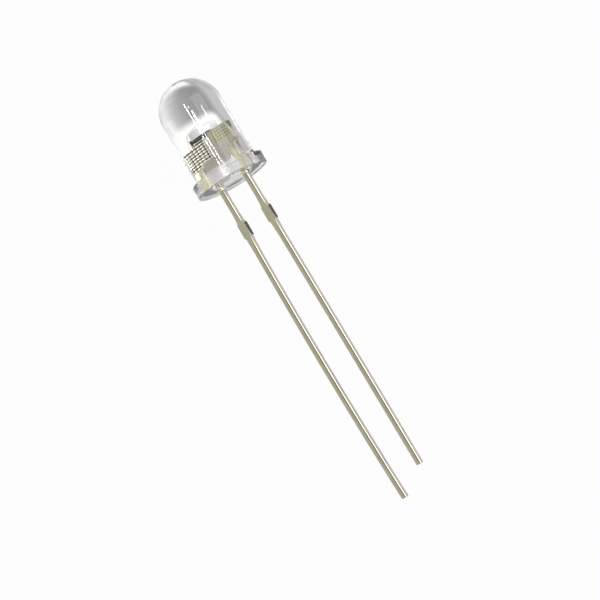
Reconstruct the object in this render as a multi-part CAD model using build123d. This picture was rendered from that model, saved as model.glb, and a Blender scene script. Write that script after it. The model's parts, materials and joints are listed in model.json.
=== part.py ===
"""A 5 mm round light-emitting diode in a clear lens, lying as it rests on a table.

Each piece is drawn upright first: the dome points along +Z, the flange's
underside is at z = 0, the leads hang along -Z, the cathode is on the +X side and
the faces of the stamped frames that carry the waffle look along -Y. The finished
pieces are then laid on the rim of the flange and the tips of both leads, with
the leads along +X, the cathode on the +Y side and the waffle upwards.
All sizes are in millimetres.
"""
from build123d import *
import os
from math import atan, cos, hypot, sin, sqrt, tan

# Lens
body_diameter = 5.0
overall_height = 8.7
flange_step = 0.45  # how far the flange stands out from the body
flange_height = 1.0
flange_edge_bevel = 0.05
flat_step = 0.05  # how far the flange's flat stands out from the body
collar_spread = 0.3  # how far the resin that crept up a lead reaches from it
collar_height = 0.24
collar_hollow = 0.05

# Leads
strip_thickness = 0.5
lead_width = 0.5
lead_pitch = 2.54
lead_edge_round = 0.05
anode_lead_length = 27.0
cathode_lead_length = 25.4
anode_lead_bow = 0.16
cathode_lead_bow = 0.02
neck_height = 1.2  # inside the resin, where a worn lead meets its sharp-edged plate

# Stubs where the tie bar of the strip was cut away
stub_top = 3.05  # distance below the flange
stub_length = 1.25
stub_reach = 0.1  # how far a stub stands out of the lead's side
stub_top_blend = 0.16
stub_foot_taper = 0.12

# Plates of the two frames, inside the lens
plate_gap = 0.36
anode_plate_bottom = 2.2
anode_plate_top = 3.8
anode_step_depth = 0.24  # how much lower the wire's landing is
anode_landing_width = 0.76
anode_inner_fillet = 0.28
cathode_plate_bottom = 2.25
cathode_plate_rise = 0.5  # how much higher the sloping lower edge is at the gap
cathode_plate_overhang = 0.33

# Round head with its cup, on the cathode's plate
head_gap = 0.2  # clearance between the head and the anode's plate
head_diameter = 1.54
head_height = 0.62
head_edge_bevel = 0.05
cup_mouth_diameter = 1.26
cup_floor_diameter = 0.6
cup_depth = 0.4

# Waffle stamped into both faces of each plate
waffle_pitch = 0.22
waffle_dent = 0.18
waffle_dent_floor = 0.02
waffle_depth = 0.05
waffle_margin = 0.07
waffle_overcut = 0.0125  # how far the punch that cuts a dent starts outside the face

# Chip, its glue and its wire
chip_width = 0.3
chip_height = 0.18
chip_bevel = 0.03
glue_thickness = 0.02
glue_spread = 0.07
glue_crest_spread = 0.02
glue_climb = 0.07
wire_diameter = 0.036
ball_diameter = 0.09
ball_height = 0.03
ball_bevel = 0.01
wire_loop_height = 0.3  # above the head's rim
wire_rim_clearance = 0.12
wire_knee = 0.1
landing_inset = 0.4  # from the outer edge of the anode's landing

# Places that follow from the sizes above
body_radius = body_diameter / 2
flange_radius = body_radius + flange_step
flat_distance = body_radius + flat_step
dome_base = overall_height - body_radius
anode_x = -lead_pitch / 2
cathode_x = lead_pitch / 2
half_strip = strip_thickness / 2
half_lead = lead_width / 2
head_radius = head_diameter / 2
head_bottom = anode_plate_top + head_gap
head_top = head_bottom + head_height
cup_floor = head_top - cup_depth
chip_bottom = cup_floor + glue_thickness
chip_top = chip_bottom + chip_height
anode_outer = anode_x - half_lead
anode_inner = -plate_gap / 2
cathode_inner = plate_gap / 2
cathode_outer = cathode_x + half_lead + cathode_plate_overhang
anode_landing = anode_plate_top - anode_step_depth
landing_edge = anode_outer + anode_landing_width

# Turns of the sum that finds how the part rests; ten already settle it
resting_rounds = 20


def stamped(outline):
    """A flat outline in the plane of both leads, given the strip's thickness."""
    return extrude(outline, half_strip, both=True)


def strip_plane_face(*points):
    """A polygon in the plane of both leads, from (x, height) pairs."""
    return make_face(Plane.XZ * Polyline(*points, close=True))


def dents(x_low, x_high, z_low, z_high):
    """Square pyramids, in rows and columns that fill a rectangle of both faces of a plate."""
    columns = int((x_high - x_low - 2 * waffle_margin) / waffle_pitch)
    rows = int((z_high - z_low - 2 * waffle_margin) / waffle_pitch)
    x_first = (x_low + x_high - (columns - 1) * waffle_pitch) / 2
    z_first = (z_low + z_high - (rows - 1) * waffle_pitch) / 2
    slope = (waffle_dent - waffle_dent_floor) / waffle_depth
    base = waffle_dent + slope * waffle_overcut
    tools = []
    for side in (-1, 1):
        face_plane = Plane((0, side * (half_strip + waffle_overcut), 0), x_dir=(1, 0, 0), z_dir=(0, side, 0))
        tip_plane = Plane((0, side * (half_strip - waffle_depth), 0), x_dir=(1, 0, 0), z_dir=(0, side, 0))
        for column in range(columns):
            for row in range(rows):
                x = x_first + column * waffle_pitch
                z = z_first + row * waffle_pitch
                spot = (x, -side * z)
                mouth = face_plane * Location(spot) * Rectangle(base, base)
                tip = tip_plane * Location(spot) * Rectangle(waffle_dent_floor, waffle_dent_floor)
                tools.append(loft([mouth.face(), tip.face()]))
    return tools


def lead_outline(x, length, bow):
    """The side of a square lead: straight past the stub, then a very slight bow to its tip."""
    bend_start = -(stub_top + stub_length / 2)
    bend_middle = (bend_start - length) / 2
    sides = [x - half_lead, x + half_lead]
    straight = strip_plane_face(
        (sides[0], neck_height), (sides[1], neck_height), (sides[1], bend_start), (sides[0], bend_start)
    )
    left, right = [
        ThreePointArc((side, bend_start), (side + bow, bend_middle), (side, -length)) for side in sides
    ]
    bowed = make_face(Plane.XZ * (left + right + Line(left @ 0, right @ 0) + Line(left @ 1, right @ 1)))
    return straight + bowed + stub_outline(x)


def stub_outline(x):
    """The cut ends of the tie bar on both sides of a lead, with a blend above and a taper below."""
    top = -stub_top
    foot = top - stub_length
    wide = half_lead + stub_reach
    right = [
        (x + half_lead, top + stub_top_blend),
        (x + wide, top),
        (x + wide, foot + stub_foot_taper),
        (x + half_lead, foot),
    ]
    left = [(2 * x - px, pz) for px, pz in reversed(right)]
    return strip_plane_face(*right, *left)


def worn_lead(x, length, bow):
    """A lead whose long edges and cut tip are rounded, up to its neck inside the resin."""
    lead = stamped(lead_outline(x, length, bow))
    tip = lead.faces().sort_by(Axis.Z)[0]
    long_edges = [
        edge
        for edge in lead.edges()
        if edge.length > 2 * stub_length and edge.bounding_box().size.Y < lead_edge_round
    ]
    return fillet(long_edges + list(tip.edges()), lead_edge_round)


def anode_leadframe():
    """The post: a lead, and a plate whose lower outer corner is the wire's landing."""
    plate = strip_plane_face(
        (anode_outer, neck_height),
        (anode_outer, anode_landing),
        (landing_edge, anode_landing),
        (landing_edge, anode_plate_top),
        (anode_inner, anode_plate_top),
        (anode_inner, anode_plate_bottom),
        (anode_x + half_lead, anode_plate_bottom),
        (anode_x + half_lead, neck_height),
    )
    corner = plate.vertices().sort_by_distance((anode_x + half_lead, 0, anode_plate_bottom))[0]
    frame = stamped(fillet(corner, anode_inner_fillet)) + worn_lead(anode_x, anode_lead_length, -anode_lead_bow)
    return frame - dents(anode_outer, anode_inner, anode_plate_bottom, anode_landing)


def cathode_leadframe():
    """The anvil: a lead, a plate with a sloping lower edge, and a round head with the cup."""
    plate = strip_plane_face(
        (cathode_x - half_lead, neck_height),
        (cathode_x - half_lead, cathode_plate_bottom),
        (cathode_inner, cathode_plate_bottom + cathode_plate_rise),
        (cathode_inner, head_bottom),
        (cathode_outer, head_bottom),
        (cathode_outer, cathode_plate_bottom + cathode_plate_overhang),
        (cathode_x + half_lead, cathode_plate_bottom),
        (cathode_x + half_lead, neck_height),
    )
    head = Location((0, 0, head_bottom)) * Cylinder(
        head_radius, head_height, align=(Align.CENTER, Align.CENTER, Align.MIN)
    )
    head = chamfer(head.edges().filter_by(GeomType.CIRCLE), head_edge_bevel)
    cup = Location((0, 0, cup_floor)) * Cone(
        cup_floor_diameter / 2,
        cup_mouth_diameter / 2,
        cup_depth,
        align=(Align.CENTER, Align.CENTER, Align.MIN),
    )
    frame = stamped(plate) + worn_lead(cathode_x, cathode_lead_length, cathode_lead_bow) + head - cup
    return frame - dents(
        cathode_inner, cathode_outer, cathode_plate_bottom + cathode_plate_rise, head_bottom - head_edge_bevel
    )


def led_chip():
    """A square die whose upper edges are bevelled."""
    blank = Location((0, 0, chip_bottom)) * Box(
        chip_width, chip_width, chip_height, align=(Align.CENTER, Align.CENTER, Align.MIN)
    )
    return chamfer(blank.faces().sort_by(Axis.Z)[-1].edges(), chip_bevel)


def die_attach_adhesive():
    """A low mound of silver glue on the cup's floor, with the die set into it."""
    foot = Location((0, 0, cup_floor)) * Rectangle(chip_width + 2 * glue_spread, chip_width + 2 * glue_spread)
    crest_width = chip_width + 2 * glue_crest_spread
    crest = Location((0, 0, chip_bottom + glue_climb)) * Rectangle(crest_width, crest_width)
    foot = fillet(foot.vertices(), glue_spread)
    crest = fillet(crest.vertices(), glue_crest_spread)
    return loft([foot.face(), crest.face()]) - led_chip()


def bond_wire():
    """A gold wire with a ball on the die, a loop over the head's rim and a landing on the anode."""
    landing_x = anode_outer + landing_inset
    loop_top = head_top + wire_loop_height
    shoulder_x = -(head_radius + wire_rim_clearance)
    route = Polyline(
        (0, 0, chip_top + ball_height / 2),
        (0, 0, loop_top - wire_knee),
        (-wire_knee, 0, loop_top),
        (shoulder_x + wire_knee, 0, head_top + wire_knee),
        (shoulder_x, 0, head_top),
        (landing_x, 0, anode_landing + ball_height / 2),
    )
    section = Plane(route @ 0, z_dir=route % 0) * Circle(wire_diameter / 2)
    wire = sweep(section, path=route, transition=Transition.RIGHT)
    ball = Location((0, 0, chip_top)) * Cylinder(
        ball_diameter / 2, ball_height, align=(Align.CENTER, Align.CENTER, Align.MIN)
    )
    ball = chamfer(ball.edges().sort_by(Axis.Z)[-1], ball_bevel)
    foot = Location((landing_x, 0, anode_landing)) * Cylinder(
        ball_diameter / 2, ball_height, align=(Align.CENTER, Align.CENTER, Align.MIN)
    )
    return ball + wire + foot


def resin_collar(x):
    """Resin that crept a little way down a lead, with a hollow side."""
    near = hypot(half_lead, half_strip)
    far = near + collar_spread
    side = SagittaArc((near, -collar_height), (far, 0), -collar_hollow)
    outline = side + Polyline((far, 0), (0, 0), (0, -collar_height), (near, -collar_height))
    return Location((x, 0, 0)) * revolve(Plane.XZ * make_face(outline), Axis.Z)


def lens_body(inside):
    """Clear resin: a flange with one flat, a round body and a dome, cast round what it holds."""
    dome = RadiusArc((body_radius, dome_base), (0, overall_height), -body_radius)
    outline = dome + Polyline((0, overall_height), (0, 0), (body_radius, 0), (body_radius, dome_base))
    body = revolve(Plane.XZ * make_face(outline), Axis.Z)
    flange = Cylinder(flange_radius, flange_height, align=(Align.CENTER, Align.CENTER, Align.MIN))
    flange = split(flange, Plane((flat_distance, 0, 0), z_dir=(1, 0, 0)), keep=Keep.BOTTOM)
    flange = chamfer(flange.edges().filter_by(Plane.XY), flange_edge_bevel)
    cast = body + flange + resin_collar(anode_x) + resin_collar(cathode_x)
    return cast - inside


def resting_plane():
    """The table's plane: it touches the flange's rim and the worn lower corner of both lead tips.

    The tips' drop sets the tilt and the difference of their lengths sets the roll,
    so the two angles are worked out in turns until they agree.
    """
    corner_x = anode_x + half_lead - lead_edge_round
    corner_y = half_strip - lead_edge_round
    run = anode_lead_length - lead_edge_round + flange_edge_bevel
    tilt = 0.0
    for _ in range(resting_rounds):
        down_x = (anode_lead_length - cathode_lead_length) * tan(tilt) / lead_pitch
        down_y = sqrt(1 - down_x**2)
        tip = corner_x * down_x + corner_y * down_y + lead_edge_round / cos(tilt)
        tilt = atan((flange_radius - tip) / run)
    up = (-down_x * cos(tilt), -down_y * cos(tilt), sin(tilt))
    along = (-down_x * sin(tilt), -down_y * sin(tilt), -cos(tilt))
    return Plane((0, 0, 0), x_dir=along, z_dir=up)


def laid_down(pieces):
    """Every piece turned into the resting position, with the middle of its footprint at the origin."""
    table = resting_plane()
    turned = {name: table.to_local_coords(piece) for name, piece in pieces.items()}
    box = Compound(children=[piece.moved(Location()) for piece in turned.values()]).bounding_box()
    middle = box.center()
    shift = Location((-middle.X, -middle.Y, -box.min.Z))
    return {name: piece.moved(shift) for name, piece in turned.items()}


def upright_pieces():
    """All pieces by name, with the resin cast round the five that it holds."""
    held = {
        "anode_leadframe": anode_leadframe(),
        "cathode_leadframe": cathode_leadframe(),
        "die_attach_adhesive": die_attach_adhesive(),
        "led_chip": led_chip(),
        "bond_wire": bond_wire(),
    }
    return {"lens_body": lens_body(list(held.values())), **held}


def main():
    os.makedirs("parts", exist_ok=True)
    for name, piece in laid_down(upright_pieces()).items():
        export_step(piece, f"parts/{name}.step")


main()
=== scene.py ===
"""A clear 5 mm light-emitting diode on a white table, dressed over its CAD frame.

The lens is worked out again as one smooth surface, because clear resin shows every
facet. Each stamped frame keeps its CAD plate and head, joined to a smoother lead. The
chip, its glue and the gold wire are the CAD pieces with finished surfaces.

Meshes are in metres, in the frame's own coordinates. Named sizes and the places that
the materials read are in millimetres, on the upright diode: across towards the
cathode's side, back away from the waffled faces, and up towards the dome.
"""
import json

import bmesh
import bpy
import numpy as np
from mathutils import Matrix, Vector


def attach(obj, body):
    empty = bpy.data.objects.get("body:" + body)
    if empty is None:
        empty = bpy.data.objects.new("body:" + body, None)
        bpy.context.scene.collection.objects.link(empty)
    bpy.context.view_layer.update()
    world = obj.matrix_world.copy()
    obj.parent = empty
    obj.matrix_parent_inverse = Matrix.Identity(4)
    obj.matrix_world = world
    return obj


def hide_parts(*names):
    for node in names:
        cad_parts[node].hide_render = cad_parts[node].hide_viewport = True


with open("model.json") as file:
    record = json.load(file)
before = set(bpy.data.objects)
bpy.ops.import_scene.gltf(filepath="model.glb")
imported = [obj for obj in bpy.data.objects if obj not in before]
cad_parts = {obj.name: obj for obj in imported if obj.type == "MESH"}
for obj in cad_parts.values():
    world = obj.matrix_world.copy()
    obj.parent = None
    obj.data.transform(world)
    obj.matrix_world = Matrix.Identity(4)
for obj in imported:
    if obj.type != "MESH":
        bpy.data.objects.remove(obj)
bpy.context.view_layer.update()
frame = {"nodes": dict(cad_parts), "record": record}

MM = 0.001

# Lens
FLANGE_RADIUS = 2.95
FLANGE_HEIGHT = 1.0
FLANGE_EDGE = 0.05         # rounding of the flange's two rims
NECK_ROUND = 0.05          # hollow rounding between the flange and the body
FLAT_DISTANCE = 2.55       # from the axis to the flange's flat
OVERALL_HEIGHT = 8.7
COLLAR_SPREAD = 0.3        # resin that crept down each lead
COLLAR_HEIGHT = 0.24
RESIN_IOR = 1.53
ROUND_STEPS = 256          # points round the lens
FACE_ROWS, EDGE_ROWS, BARREL_ROWS, DOME_ROWS = 110, 7, 24, 64   # rings of points on its profile

# Leads, with depths measured down from the flange's underside
LEAD_PITCH = 2.54
LEAD_WIDTH = 0.5
HALF_LEAD = LEAD_WIDTH / 2
NECK_HEIGHT = 1.2          # above the underside, where a lead meets its plate
NECK_GAP = 0.005           # between the lead's end and the plate's foot
STUB_TOP = 3.05
STUB_LENGTH = 1.25
STUB_FOOT = STUB_TOP + STUB_LENGTH
STUB_REACH = 0.1
STUB_TOP_SLOPE = 0.16
STUB_FOOT_SLOPE = 0.12
LEAD_TIP_ROUND = 0.06
CORNER_DEPTHS = [-0.3, 0.0, 0.3, 2.2, STUB_TOP - 0.2, STUB_FOOT + 0.1, STUB_FOOT + 1.2]
CORNER_ROUNDINGS = [0.06, 0.17, 0.17, 0.16, 0.06, 0.06, 0.16]
QUARTER_TURN = np.arange(0, 91, 15)           # the steps round a corner, in degrees
MERGE_DISTANCE = 1e-7                         # metres
SHARP_ANGLE = 24                              # degrees
LEADS = {
    "anode_leadframe": (-LEAD_PITCH / 2, 27.0, -0.16),   # middle, length and bow
    "cathode_leadframe": (LEAD_PITCH / 2, 25.4, 0.02),
}

# Waffled plates and the head above them
WAFFLE_PITCH = 0.22
DENT_DEPTH = 0.06
DISC_EDGE = 0.37                              # pitches from a dent's middle to its disc's edge
RIB_EDGE = 0.45                               # and to the rib's
POST_WAFFLE = (-1.62, -0.2, 1.9, 3.78)        # across from, to, up from, to
POST_WAFFLE_MIDDLE = (-0.85, 2.88)
POST_SOLID_DENTS = (2.34, 3.42)               # heights between which the CAD plate has its own
ANVIL_WAFFLE = (0.365, 1.665, 2.92, 3.78)
ANVIL_WAFFLE_MIDDLE = (1.015, 3.35)
HEAD_BOTTOM = 4.0
CRISP = 0.005                                 # half width of a mask's edge

# Camera, as fitted to the photograph
CAMERA_DISTANCE = 140.0
CAMERA_RISE = 5.82         # degrees that the camera looks at the flange's underside
CAMERA_ROUND = 29.27       # degrees that it stands towards the cathode's side
CAMERA_ROLL = 30.89
PIXELS_PER_MM = 13.255
PHOTO_SIZE = 600
AIM_ALONG = 10.31
AIM_ACROSS = -0.30

mounts = {mount["name"]: mount for mount in frame["record"]["mounts"]}
BODY_RADIUS = mounts["lens_barrel"]["dims"]["r_mm"]
BODY_LENGTH = mounts["lens_barrel"]["dims"]["length_mm"]
TO_DOME = Vector(mounts["lens_barrel"]["axis"]).normalized()
BARREL = Vector(mounts["lens_barrel"]["pos_m"])
UNDERSIDE = BARREL - TO_DOME * (FLANGE_HEIGHT + BODY_LENGTH / 2) * MM
outward = Vector(mounts["shoulder_face"]["pos_m"]) - BARREL
FRONT = (outward - outward.dot(TO_DOME) * TO_DOME).normalized()
TO_CATHODE = FRONT.cross(TO_DOME).normalized()
if TO_CATHODE.y < 0:
    TO_CATHODE = -TO_CATHODE
TO_TIPS = -TO_DOME


def placed(across, back, up):
    """Points of the upright diode put where it lies: the sum of each distance along its axis."""
    axes = np.array([TO_CATHODE, -FRONT, TO_DOME])
    points = np.stack([across, back, up], axis=-1) * MM
    return points @ axes + np.array(UNDERSIDE)


def add_object(name, data):
    """A new object at the origin of the scene."""
    made = bpy.data.objects.new(name, data)
    bpy.context.scene.collection.objects.link(made)
    return made


def ring_mesh(name, rings, ends):
    """A closed mesh from rings of points: squares between them and a fan to a point at each end."""
    rows, columns = rings.shape[:2]
    here = np.arange(rows * columns).reshape(rows, columns)
    following = np.roll(here, -1, axis=1)
    squares = np.stack([here[:-1], following[:-1], following[1:], here[1:]], axis=-1)
    faces = squares.reshape(-1, 4).tolist()
    vertices = rings.reshape(-1, 3)
    for row, point in ends:
        tip = len(vertices)
        vertices = np.vstack([vertices, point])
        first, second = (here[row], following[row]) if row == -1 else (following[row], here[row])
        faces += np.stack([first, second, np.full(columns, tip)], axis=-1).tolist()
    mesh = bpy.data.meshes.new(name)
    mesh.from_pydata(vertices.tolist(), [], faces)
    mesh.validate()
    mesh.shade_smooth()
    return add_object(name, mesh)


def arc(centre, radius, start, stop, count):
    """Points round a circle of the profile, from one angle in degrees to another."""
    angle = np.radians(np.linspace(start, stop, count))
    return np.array(centre) + radius * np.stack([np.cos(angle), np.sin(angle)], axis=-1)


def collar_drop(across, back):
    """How far the underside hangs down round each lead.

    It is the collar's height times the square of 1 - distance / spread, where the
    distance is measured outwards from the lead's square.
    """
    drop = np.zeros_like(across)
    for middle in (-LEAD_PITCH / 2, LEAD_PITCH / 2):
        beside = np.maximum(np.abs(across - middle) - HALF_LEAD, 0)
        behind = np.maximum(np.abs(back) - HALF_LEAD, 0)
        near = np.clip(1 - np.hypot(beside, behind) / COLLAR_SPREAD, 0, 1)
        drop = np.maximum(drop, COLLAR_HEIGHT * near**2)
    return drop


def lens():
    """The resin's outer surface: a profile turned round the axis, its flange cut off at the flat.

    At an angle a from the cathode, the flange reaches the smaller of its radius and
    the flat's distance / cos a. The dome is a half ball as wide as the body.
    """
    rim = FLANGE_RADIUS - FLANGE_EDGE
    dome_base = OVERALL_HEIGHT - BODY_RADIUS
    neck = (BODY_RADIUS + NECK_ROUND, FLANGE_HEIGHT + NECK_ROUND)
    barrel = np.linspace(FLANGE_HEIGHT + 0.2, dome_base - 0.1, BARREL_ROWS)
    profile = np.vstack([
        np.stack([np.linspace(0.03, rim, FACE_ROWS), np.zeros(FACE_ROWS)], axis=-1),
        arc((rim, FLANGE_EDGE), FLANGE_EDGE, -90, 0, EDGE_ROWS)[1:],
        [(FLANGE_RADIUS, 0.2), (FLANGE_RADIUS, 0.5), (FLANGE_RADIUS, 0.8)],
        arc((rim, FLANGE_HEIGHT - FLANGE_EDGE), FLANGE_EDGE, 0, 90, EDGE_ROWS),
        arc(neck, NECK_ROUND, 270, 180, EDGE_ROWS),
        np.stack([np.full(BARREL_ROWS, BODY_RADIUS), barrel], axis=-1),
        arc((0, dome_base), BODY_RADIUS, 0, 89, DOME_ROWS),
    ])
    turn = np.linspace(0, 2 * np.pi, ROUND_STEPS, endpoint=False)
    radius, height = profile[:, :1], profile[:, 1:]
    in_flange = height < FLANGE_HEIGHT + NECK_ROUND * 0.9
    towards_flat = np.cos(turn)
    flat = FLAT_DISTANCE / np.maximum(towards_flat, 0.5)   # out of reach past 60 degrees
    cut = np.minimum(radius, np.maximum(flat - (FLANGE_RADIUS - radius), 0))
    reach = np.where(in_flange & (radius >= BODY_RADIUS), cut, radius)
    across, back = reach * towards_flat, reach * np.sin(turn)
    up = np.broadcast_to(height, across.shape) - np.where(height > 0, 0, collar_drop(across, back))
    ends = [(-1, placed(0.0, 0.0, OVERALL_HEIGHT)), (0, placed(0.0, 0.0, 0.0))]
    return ring_mesh("clear_lens", placed(across, back, up), ends)


def lead(name, middle, length, bow):
    """A worn square wire from inside the resin to its tip, in rings of points.

    Its half width is half the lead's, and wider at the stub by a straight-sided bump.
    Its corners are round next to the flange and below the stub, and sharper inside the
    resin and at the stub, in straight lines between the depths given. Past the stub its
    middle moves aside by a parabola, and its tip's edge is a quarter circle.
    """
    steps = np.concatenate([
        np.linspace(-NECK_HEIGHT, STUB_TOP - 0.3, 40),
        STUB_TOP - STUB_TOP_SLOPE + np.array([-0.06, 0.0, 0.04, 0.08, 0.12, 0.16, 0.2]),
        np.linspace(STUB_TOP + 0.1, STUB_FOOT - 0.2, 8),
        STUB_FOOT - STUB_FOOT_SLOPE + np.array([0.0, 0.03, 0.06, 0.09, 0.12, 0.2]),
        np.linspace(STUB_FOOT + 0.2, length - 0.1, 90),
        length - LEAD_TIP_ROUND * (1 - np.sin(np.radians(QUARTER_TURN))),
    ])[:, None]
    stub_depths = [STUB_TOP - STUB_TOP_SLOPE, STUB_TOP, STUB_FOOT - STUB_FOOT_SLOPE, STUB_FOOT]
    stub = np.interp(steps, stub_depths, [0, STUB_REACH, STUB_REACH, 0])
    into_tip = np.clip(1 - (length - steps) / LEAD_TIP_ROUND, 0, 1)
    inset = LEAD_TIP_ROUND * (1 - np.sqrt(1 - into_tip**2))
    bend_start = STUB_TOP + STUB_LENGTH / 2
    along = np.clip((steps - bend_start) / (length - bend_start), 0, 1)
    aside = middle + bow * 4 * along * (1 - along)
    corner = np.repeat(np.arange(4), len(QUARTER_TURN))
    angle = np.radians(corner * 90 + np.tile(QUARTER_TURN, 4))[None]
    sign_across, sign_back = np.array([1, -1, -1, 1])[corner], np.array([1, 1, -1, -1])[corner]
    half_width, half_depth = HALF_LEAD + stub - inset, HALF_LEAD - inset
    rounding = np.interp(steps, CORNER_DEPTHS, CORNER_ROUNDINGS) - inset
    across = aside + sign_across * (half_width - rounding) + rounding * np.cos(angle)
    back = sign_back * (half_depth - rounding) + rounding * np.sin(angle)
    up = np.broadcast_to(-steps, across.shape)
    ends = [(0, placed(aside[0, 0], 0.0, NECK_HEIGHT)), (-1, placed(aside[-1, 0], 0.0, -length))]
    return ring_mesh(name, placed(across, back, up), ends)


def dressed_strip(name, slot, material, middle, length, bow):
    """A stamped frame: its own plate, joined up above the neck, and a smoother worn lead below."""
    wire = lead(name + "_wire", middle, length, bow)
    joined = bmesh.new()
    joined.from_mesh(frame["nodes"][name].data)
    bmesh.ops.remove_doubles(joined, verts=joined.verts, dist=MERGE_DISTANCE)
    everything = joined.verts[:] + joined.edges[:] + joined.faces[:]
    neck = UNDERSIDE + TO_DOME * (NECK_HEIGHT + NECK_GAP) * MM
    bmesh.ops.bisect_plane(
        joined, geom=everything, plane_co=neck, plane_no=TO_DOME, clear_inner=True
    )
    bmesh.ops.holes_fill(joined, edges=[edge for edge in joined.edges if edge.is_boundary], sides=0)
    joined.from_mesh(wire.data)
    bmesh.ops.recalc_face_normals(joined, faces=joined.faces)
    mesh = bpy.data.meshes.new(name + "_strip")
    joined.to_mesh(mesh)
    joined.free()
    bpy.data.objects.remove(wire)
    mesh.shade_smooth()
    mesh.set_sharp_from_angle(angle=np.radians(SHARP_ANGLE))
    mesh.materials.clear()
    mesh.materials.append(material)
    strip = add_object(name + "_strip", mesh)
    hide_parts(name)
    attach(strip, "root")


class Value:
    """A shader socket that can be reckoned with: each operator adds its Math node."""

    def __init__(self, net, socket):
        self.net, self.socket = net, socket

    def __add__(self, other):
        return self.net.math("ADD", self, other)

    def __sub__(self, other):
        return self.net.math("SUBTRACT", self, other)

    def __rsub__(self, other):
        return self.net.math("SUBTRACT", other, self)

    def __mul__(self, other):
        return self.net.math("MULTIPLY", self, other)

    __radd__, __rmul__ = __add__, __mul__

    def __abs__(self):
        return self.net.math("ABSOLUTE", self)

    def fraction(self):
        return self.net.math("FRACT", self)

    def larger(self, other):
        return self.net.math("MAXIMUM", self, other)

    def clamped(self):
        return self.net.math("MINIMUM", self.larger(0.0), 1.0)

    def rises(self, low, high):
        """0 below the low value, 1 above the high one, with a smooth climb between them."""
        inputs = {"Value": self, "From Min": low, "From Max": high}
        return self.net.node("ShaderNodeMapRange", {"interpolation_type": "SMOOTHSTEP"}, inputs)

    def falls(self, low, high):
        """1 below the low value, 0 above the high one."""
        return 1 - self.rises(low, high)

    def between(self, low, high, soft):
        """1 from the low value to the high one, with soft ends."""
        return self.rises(low - soft, low + soft) * self.falls(high - soft, high + soft)


class Net:
    """A node tree whose nodes are added one at a time."""

    def __init__(self, tree):
        self.tree = tree

    def feed(self, socket, value):
        """A link into a socket, or its plain value."""
        if isinstance(value, Value):
            self.tree.links.new(value.socket, socket)
        else:
            socket.default_value = value

    def node(self, kind, settings, inputs, output=0):
        """A new node: its settings first, then what goes into each named or numbered socket."""
        made = self.tree.nodes.new(kind)
        for name, value in settings.items():
            setattr(made, name, value)
        for name, value in inputs.items():
            self.feed(made.inputs[name], value)
        return Value(self, made.outputs[output])

    def math(self, operation, *terms):
        return self.node("ShaderNodeMath", {"operation": operation}, dict(enumerate(terms)))

    def mix(self, share, first, second):
        """The first colour, turning into the second one as the share goes from 0 to 1."""
        inputs = {0: share, 6: first, 7: second}
        return self.node("ShaderNodeMix", {"data_type": "RGBA"}, inputs, 2)

    def along(self, vector, direction):
        """How far a vector goes in a direction."""
        inputs = {0: vector, 1: direction}
        return self.node("ShaderNodeVectorMath", {"operation": "DOT_PRODUCT"}, inputs, "Value")

    def ray(self, kind):
        """1 for a ray of one kind, such as Camera, and 0 for the others."""
        return self.node("ShaderNodeLightPath", {}, {}, "Is " + kind + " Ray")


class Finish(Net):
    """A material that reads its places in millimetres from the middle of the flange's underside."""

    def __init__(self, name, **surface):
        self.material = bpy.data.materials.new(name)
        self.material.use_nodes = True
        super().__init__(self.material.node_tree)
        self.shader = self.tree.nodes["Principled BSDF"]
        self.surface(**surface)

    def surface(self, **channels):
        for name, value in channels.items():
            self.feed(self.shader.inputs[name.replace("_", " ")], value)

    def place(self):
        return self.node("ShaderNodeTexCoord", {}, {}, "Object")

    def reach(self, direction):
        """Millimetres from the middle of the underside in a direction."""
        return self.along(self.place(), direction) * (1 / MM) - UNDERSIDE.dot(direction) / MM

    def facing(self, direction):
        """The cosine between the surface's normal and a direction."""
        return self.along(self.node("ShaderNodeNewGeometry", {}, {}, "Normal"), direction)

    def noise(self, scale, detail, where=None):
        """Noise in the object's coordinates, whose features are 1 / scale metres wide."""
        inputs = {"Vector": where or self.place(), "Scale": scale, "Detail": detail}
        return self.node("ShaderNodeTexNoise", {}, inputs, "Fac")

    def drawn(self, scale, squeeze):
        """Noise drawn out along the leads: its features are longer than wide by 1 / squeeze."""
        turn = TO_TIPS.to_track_quat("X", "Z").to_euler()
        rotation, stretch = (0, -turn.y, -turn.z), (squeeze, 1.0, 1.0)
        inputs = {"Vector": self.place(), "Rotation": rotation, "Scale": stretch}
        return self.noise(scale, 3.0, self.node("ShaderNodeMapping", {}, inputs))

    def bump(self, height, strength, distance):
        inputs = {"Height": height, "Strength": strength, "Distance": distance}
        self.surface(Normal=self.node("ShaderNodeBump", {}, inputs))


def resin():
    """Clear epoxy: polished on the body and dome, slightly matt and ringed on the flange."""
    tint = (0.97, 0.975, 0.97, 1)
    finish = Finish("clear_epoxy", Base_Color=tint, IOR=RESIN_IOR, Transmission_Weight=1.0)
    height, across, back = finish.reach(TO_DOME), finish.reach(TO_CATHODE), finish.reach(-FRONT)
    flange = height.falls(FLANGE_HEIGHT - 0.02, FLANGE_HEIGHT + 0.06)
    rim = (across * across + back * back).rises(2.6**2, 2.85**2)
    glossy_end = rim * across.falls(-2.5, -1.9)
    finish.surface(
        Roughness=flange * (rim * 0.2 + 0.03) + 0.03,
        Metallic=flange * glossy_end * 0.45,
    )
    layers = {"X": height, "Y": across * 0.06, "Z": back * 0.06}
    rings = finish.noise(7.0, 2.0, finish.node("ShaderNodeCombineXYZ", {}, layers))
    finish.bump(finish.noise(900.0, 2.0) * 0.05 + rings * flange * 1.1, 1.0, 0.02 * MM)
    return finish.material


def inside(across, height, zone):
    """1 within a zone of the plates, given as across from, to, up from, to."""
    return across.between(zone[0], zone[1], CRISP) * height.between(zone[2], zone[3], CRISP)


def from_dent(distance):
    """How far a place is from the middle of its dent, in pitches: 0 there and a half on the rib."""
    return abs((distance * (1 / WAFFLE_PITCH) + 0.5).fraction() - 0.5)


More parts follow.
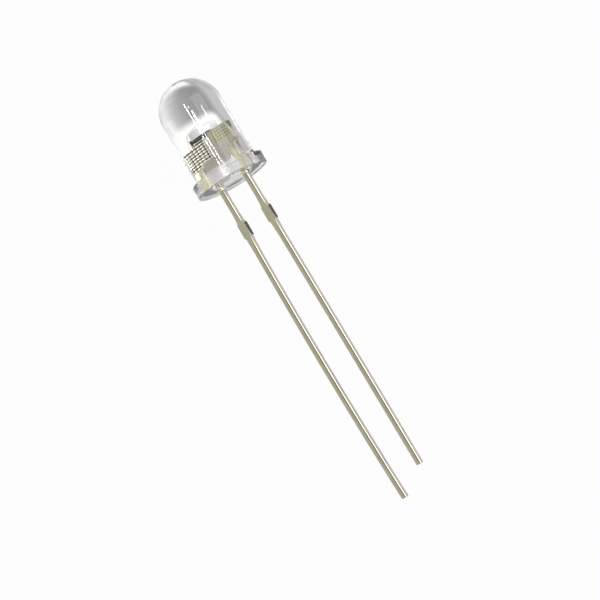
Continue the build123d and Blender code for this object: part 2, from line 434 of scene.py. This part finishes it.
def plating():
    """Plating on a stamped strip.

    The rolled faces are olive grey and darker on the anvil, the punched sides paler and
    pinker, the head's silver white with painted shade, near black, on its underside, and
    the cuts at the stubs and tips bare and dark.
    Each dent of the waffle has painted light and shade: a pale lit disc with a dark shaded rib
    round it.
    """
    finish = Finish("plated_strip")
    height, across, back = finish.reach(TO_DOME), finish.reach(TO_CATHODE), finish.reach(-FRONT)
    below_face = HALF_LEAD - abs(back)
    streaks, clouds = finish.drawn(9000.0, 0.05), finish.noise(700.0, 3.0)
    grit = finish.noise(16000.0, 2.0)
    worn = (streaks * 0.6 + clouds * 0.4).rises(0.3, 0.7)
    rolled = abs(finish.facing(FRONT)).rises(0.55, 0.97)
    sides = finish.mix(worn, (0.64, 0.60, 0.54, 1), (0.78, 0.735, 0.67, 1))
    faces = finish.mix(worn, (0.66, 0.63, 0.44, 1), (0.80, 0.765, 0.57, 1))
    colour = finish.mix(rolled, sides, faces)

    post = across.falls(-0.01, 0.01)
    anvil = 1 - post
    in_plate = height.rises(NECK_HEIGHT + 0.3, NECK_HEIGHT + 0.9) * anvil * rolled
    anvil_face = finish.mix(worn, (0.46, 0.44, 0.34, 1), (0.56, 0.54, 0.43, 1))
    colour = finish.mix(in_plate, colour, anvil_face)

    on_post = inside(across, height, POST_WAFFLE)
    dented = on_post + inside(across, height, ANVIL_WAFFLE)
    waffle = dented * below_face.falls(DENT_DEPTH - CRISP, DENT_DEPTH)
    aside = from_dent(across - POST_WAFFLE_MIDDLE[0] * post - ANVIL_WAFFLE_MIDDLE[0] * anvil)
    upwards = from_dent(height - POST_WAFFLE_MIDDLE[1] * post - ANVIL_WAFFLE_MIDDLE[1] * anvil)
    # painted light and shade: pale lit discs in the dents, dark shaded ribs round them
    rib = (aside * aside + upwards * upwards).rises(DISC_EDGE**2, RIB_EDGE**2)
    shaded_ribs = finish.mix(post, (0.34, 0.32, 0.22, 1), (0.13, 0.11, 0.07, 1))
    lit_discs = finish.mix(post, (0.64, 0.61, 0.36, 1), (0.98, 0.96, 0.84, 1))
    colour = finish.mix(waffle, colour, finish.mix(rib, lit_discs, shaded_ribs))
    still_flat = below_face.falls(0.001, 0.003) * (1 - height.between(*POST_SOLID_DENTS, CRISP))
    dent = on_post * still_flat * aside.larger(upwards) * (2 * DENT_DEPTH)

    head = height.rises(HEAD_BOTTOM - 0.03, HEAD_BOTTOM - 0.01)
    colour = finish.mix(head, colour, (0.97, 0.965, 0.955, 1))
    # painted shade: the head's underside, where it faces the tips, is painted near black
    underneath = height.between(HEAD_BOTTOM - 0.01, HEAD_BOTTOM + 0.03, 0.01)
    painted_shade_under_head = underneath * finish.facing(TO_TIPS).rises(0.6, 0.8)
    colour = finish.mix(painted_shade_under_head, colour, (0.03, 0.03, 0.03, 1))

    tip = finish.facing(TO_TIPS).rises(0.75, 0.95) * height.falls(-20.0, -19.0)
    stub = height.between(0.1 - STUB_FOOT, -STUB_TOP - 0.02, 0.03)
    past_lead = abs(abs(across) - LEAD_PITCH / 2) - HALF_LEAD - STUB_REACH
    sheared = stub * past_lead.rises(-0.03, -0.01) * abs(finish.facing(TO_CATHODE)).rises(0.6, 0.8)
    bare = (tip + sheared).clamped()
    steel = finish.mix(grit.rises(0.45, 0.6), (0.05, 0.045, 0.04, 1), (0.28, 0.27, 0.25, 1))
    punched_in_resin = (1 - rolled) * height.rises(NECK_HEIGHT, NECK_HEIGHT + 0.3) * (1 - head)

    finish.surface(
        Base_Color=finish.mix(bare, colour, steel),
        Roughness=(streaks * 0.08 + 0.12) * (1 - bare) + bare * 0.45 + head * 0.25,
        Metallic=1 - head * 0.75 - punched_in_resin * 0.4,
    )
    finish.bump(streaks * (1 - bare) * 0.0006 + grit * bare * 0.006 + dent, 1.0, MM)
    return finish.material


def die_glue():
    """Silver-filled glue: pale grey with fine flakes."""
    finish = Finish("silver_glue", Metallic=0.5, Roughness=0.45)
    flakes = finish.noise(60000.0, 2.0)
    finish.surface(Base_Color=finish.mix(flakes, (0.45, 0.45, 0.44, 1), (0.75, 0.75, 0.73, 1)))
    finish.bump(flakes, 0.4, 0.004 * MM)
    return finish.material


def die():
    """The chip's crystal: dark amber sides with faint saw marks."""
    finish = Finish("chip_crystal", Roughness=0.2, IOR=2.2)
    marks = finish.noise(40000.0, 2.0)
    finish.surface(Base_Color=finish.mix(marks, (0.16, 0.13, 0.10, 1), (0.30, 0.26, 0.20, 1)))
    finish.bump(marks, 0.3, 0.002 * MM)
    return finish.material


def gold():
    """Drawn gold wire."""
    finish = Finish("gold_wire", Metallic=1.0)
    drawn = finish.noise(50000.0, 2.0)
    finish.surface(
        Base_Color=finish.mix(drawn, (0.75, 0.52, 0.20, 1), (0.95, 0.72, 0.36, 1)),
        Roughness=drawn * 0.15 + 0.15,
    )
    return finish.material


def painted_tones_through_lens(height, side, glass):
    """The red, green and blue that refracted rays pick up from the table, by where they land.

    It is painted for refracted rays only: a grey painted shadow, darkest in a strip along
    the diode and paler on both sides of it, with a white band of painted light and a short
    black bar of painted shade across it, for the shaded gap under the head. Between the bar
    and the flange it is a little olive.
    """
    # painted shadow: grey, darkest along the diode, seen through the lens
    far_side = side.falls(-4.0, -2.6)
    by_dome = side.rises(-2.35, -0.9) * 0.62 + far_side * 0.25 + 0.28
    by_flange = side.rises(-1.5, -0.1) * 0.34 + far_side * 0.12 + 0.37
    by_flange = by_flange + height.falls(1.5, 2.1) * 0.24
    near_dome = height.rises(4.5, 6.2)
    grey = near_dome * by_dome + (1 - near_dome) * by_flange
    # painted light: a white band where the lens focuses light
    band_foot = (height + side.rises(-1.75, -1.45) * 0.55).rises(4.4, 4.5)
    band = band_foot * height.falls(5.6, 6.4) * side.rises(-3.3, -2.5)
    # painted shade: a black bar for the shaded gap under the head
    bar = height.between(4.36, 4.80, 0.03) * side.between(-2.04, -1.66, 0.02)
    tone = (1 - glass) + glass * ((1 - band) * grey + band * 1.08) * (1 - bar)
    below_bar = height.between(1.9, 3.5, 0.5) * side.falls(-1.8, -1.4) * side.rises(-2.8, -2.4)
    olive = glass * below_bar * (1 - band)
    return [tone * (1 - olive * loss) for loss in (0.04, 0.07, 0.2)]


def table():
    """A white table that keeps the diode's soft shadow.

    The eye sees it nearly as plain white and metal sees part of that white, while the
    lamps light the rest of it. Resin sees painted tones there instead: painted shadow,
    light and shade, for refracted rays only.
    """
    half_side = 0.6
    corners = np.array([[-1, -1, 0], [1, -1, 0], [1, 1, 0], [-1, 1, 0]]) * half_side
    mesh = bpy.data.meshes.new("table")
    mesh.from_pydata(corners.tolist(), [], [(0, 1, 2, 3)])
    floor = add_object("table", mesh)
    finish = Finish("white_table", Base_Color=(0.86, 0.86, 0.86, 1), Roughness=0.9)
    finish.bump(finish.noise(800.0, 2.0), 0.05, 0.02 * MM)

    glass = finish.ray("Transmission")
    red, green, blue = painted_tones_through_lens(finish.reach(TO_DOME), finish.reach(TO_CATHODE), glass)
    shades = finish.node("ShaderNodeCombineColor", {}, {"Red": red, "Green": green, "Blue": blue})
    glow = finish.node("ShaderNodeEmission", {}, {"Color": shades, "Strength": 1.0})
    share = (finish.ray("Camera") * 0.96 + finish.ray("Glossy") * 0.3 + glass * 0.9).clamped()
    lit = Value(finish, finish.shader.outputs[0])
    both = finish.node("ShaderNodeMixShader", {}, {0: share, 1: lit, 2: glow})
    finish.feed(finish.tree.nodes["Material Output"].inputs["Surface"], both)
    mesh.materials.append(finish.material)


def towards(rise, turn):
    """The direction that rises towards the tips and turns from the front to the cathode's side.

    Both angles are in degrees.
    """
    rise, turn = np.radians(rise), np.radians(turn)
    level = TO_CATHODE * np.sin(turn) + FRONT * np.cos(turn)
    return TO_TIPS * np.sin(rise) + level * np.cos(rise)


def standing(axes, middle):
    """The matrix that puts an object at a point, with its own axes along three directions."""
    return Matrix.Translation(middle) @ Matrix(axes).transposed().to_4x4()


def lamp(name, direction, distance, width, length, radiance, only=None):
    """A soft box that faces the lens, with its long side along the leads.

    Its distance and sides are in metres, and it may light one piece only.
    """
    light = bpy.data.lights.new(name, "AREA")
    light.shape = "RECTANGLE"
    light.size, light.size_y = width, length
    light.energy = radiance * np.pi * width * length
    box = add_object(name, light)
    up = direction.normalized()
    along = (TO_TIPS - TO_TIPS.dot(up) * up).normalized()
    box.matrix_world = standing((along.cross(up), along, up), UNDERSIDE + direction * distance)
    box.visible_camera = False
    if only is not None:
        box.light_linking.receiver_collection = bpy.data.collections.new(name + "_lights")
        box.light_linking.receiver_collection.objects.link(only)


def studio(shell):
    """A pale room, dim behind the camera, with a wide window on the cathode's side and two strips.

    The narrow strips light the lens only. Resin sees an even wall in place of the dim part.
    """
    world = bpy.data.worlds.new("studio")
    bpy.context.scene.world = world
    world.use_nodes = True
    room = Net(world.node_tree)
    way = room.node("ShaderNodeTexCoord", {}, {}, "Generated")
    from_window = room.along(way, TO_CATHODE).rises(-0.2, 0.9)
    wall = room.mix(from_window, (0.52, 0.52, 0.51, 1), (0.84, 0.84, 0.83, 1))
    behind_camera = room.along(way, towards(CAMERA_RISE, CAMERA_ROUND - 20)).rises(0.84, 0.97)
    seen_by_metal = room.mix(behind_camera, wall, (0.20, 0.19, 0.18, 1))
    seen_by_all = room.mix(room.ray("Transmission"), seen_by_metal, (0.72, 0.72, 0.71, 1))
    room.feed(room.tree.nodes["Background"].inputs["Color"], seen_by_all)
    lamp("side_window", towards(0, 71), 0.5, width=0.42, length=0.7, radiance=1.75)
    lamp("strip_long", towards(-12, 17.8), 0.6, width=0.018, length=0.30, radiance=80.0, only=shell)
    lamp("strip_short", towards(-5, 28.2), 0.6, width=0.018, length=0.17, radiance=64.0, only=shell)


def camera():
    """The photograph's viewpoint: a long lens that looks at the middle of the diode."""
    to_camera = towards(CAMERA_RISE, CAMERA_ROUND)
    along = (TO_TIPS - TO_TIPS.dot(to_camera) * to_camera).normalized()
    across = to_camera.cross(along)
    if across.dot(TO_CATHODE) < 0:
        across = -across
    roll = np.radians(CAMERA_ROLL)
    down = along * np.cos(roll) - across * np.sin(roll)
    right = along * np.sin(roll) + across * np.cos(roll)
    target = UNDERSIDE + (along * AIM_ALONG + across * AIM_ACROSS) * MM
    data = bpy.data.cameras.new("camera")
    data.sensor_width = 36.0
    data.lens = data.sensor_width * PIXELS_PER_MM * CAMERA_DISTANCE / PHOTO_SIZE
    data.clip_start, data.clip_end = 0.01, 10.0
    eye = add_object("camera", data)
    place = target + to_camera * CAMERA_DISTANCE * MM
    eye.matrix_world = standing((right, -down, to_camera), place)
    bpy.context.scene.camera = eye


shell = lens()
shell.data.materials.append(resin())
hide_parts("lens_body")
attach(shell, "root")

finishes = {
    "plated_strip": plating(),
    "silver_glue": die_glue(),
    "chip": die(),
    "gold_wire": gold(),
}
for subpart in frame["record"]["subparts"]:
    name, slot = subpart["node"], subpart["material_slot"]
    if name in LEADS:
        dressed_strip(name, slot, finishes[slot], *LEADS[name])
    elif slot in finishes:
        node = frame["nodes"][name]
        node.data.materials.clear()
        node.data.materials.append(finishes[slot])

table()
studio(shell)
camera()
bpy.context.scene.view_settings.view_transform = "Standard"
